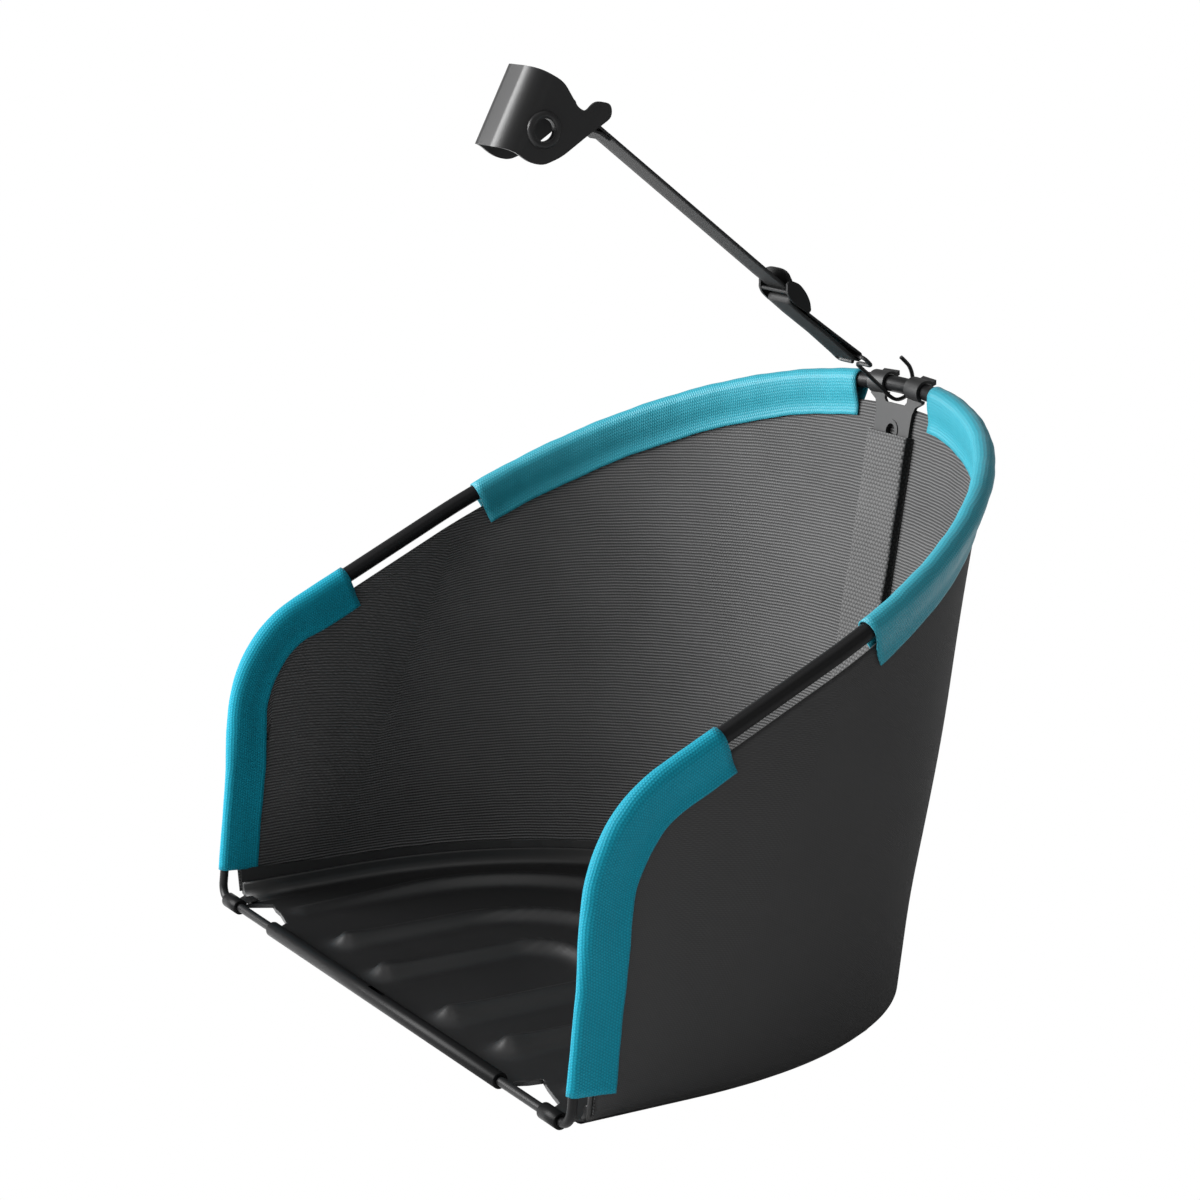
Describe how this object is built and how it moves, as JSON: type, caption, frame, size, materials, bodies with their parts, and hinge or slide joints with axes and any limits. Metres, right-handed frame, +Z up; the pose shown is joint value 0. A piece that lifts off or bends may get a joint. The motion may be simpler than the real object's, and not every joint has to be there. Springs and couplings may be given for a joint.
{
  "type": "grass catcher",
  "caption": "Open-front fabric grass catcher: ribbed moulded tray, wire and tube frame with folded cloth sleeves, rear strut, and a strap hanger with clip.",
  "frame": {"origin": "centre of the footprint, on the ground under the tray", "axes": "+X across the mouth, -Y out of the open mouth, +Z up"},
  "size_m": [0.4548, 0.3739, 0.5321],
  "materials": {
    "tray_plastic": "satin, finely textured",
    "frame_paint": "semi-gloss paint",
    "wall_cloth": "coated knit, matt",
    "sleeve_cloth": "woven, slight sheen",
    "strip_plastic": "matt",
    "strut_plastic": "satin",
    "pocket_cloth": "ribbed webbing",
    "hook_steel": "semi-gloss paint",
    "strap_cloth": "woven webbing",
    "slider_plastic": "satin",
    "clip_paint": "semi-gloss paint",
    "pin_steel": "plain turned"
  },
  "bodies": {
    "catcher": {"floor_tray": "tray_plastic", "lower_wire": "frame_paint", "upper_tube": "frame_paint", "fabric_body": "wall_cloth", "front_sleeve_left": "sleeve_cloth", "front_sleeve_right": "sleeve_cloth", "rear_sleeve_left": "sleeve_cloth", "rear_sleeve_right": "sleeve_cloth", "bottom_edge_strip": "strip_plastic", "rear_strut": "strut_plastic", "strut_pocket": "pocket_cloth"},
    "hook": {"wire_hook": "hook_steel"},
    "strap": {"hanger_strap": "strap_cloth", "strap_slider": "slider_plastic"},
    "clip": {"mower_clip": "clip_paint", "clip_pin": "pin_steel"}
  },
  "joints": [
    {"name": "hook_swing", "type": "hinge", "parent": "catcher", "child": "hook", "pos_m": [0, 0.17843, 0.3299], "axis": [1, 0, 0], "range_deg": [-120, 20]},
    {"name": "strap_swing", "type": "hinge", "parent": "hook", "child": "strap", "pos_m": [0, 0.13762, 0.3526], "axis": [1, 0, 0], "range_deg": [-105, 85]},
    {"name": "clip_swing", "type": "hinge", "parent": "strap", "child": "clip", "pos_m": [0, -0.05128, 0.5014], "axis": [1, 0, 0], "range_deg": [-160, 110]}
  ]
}
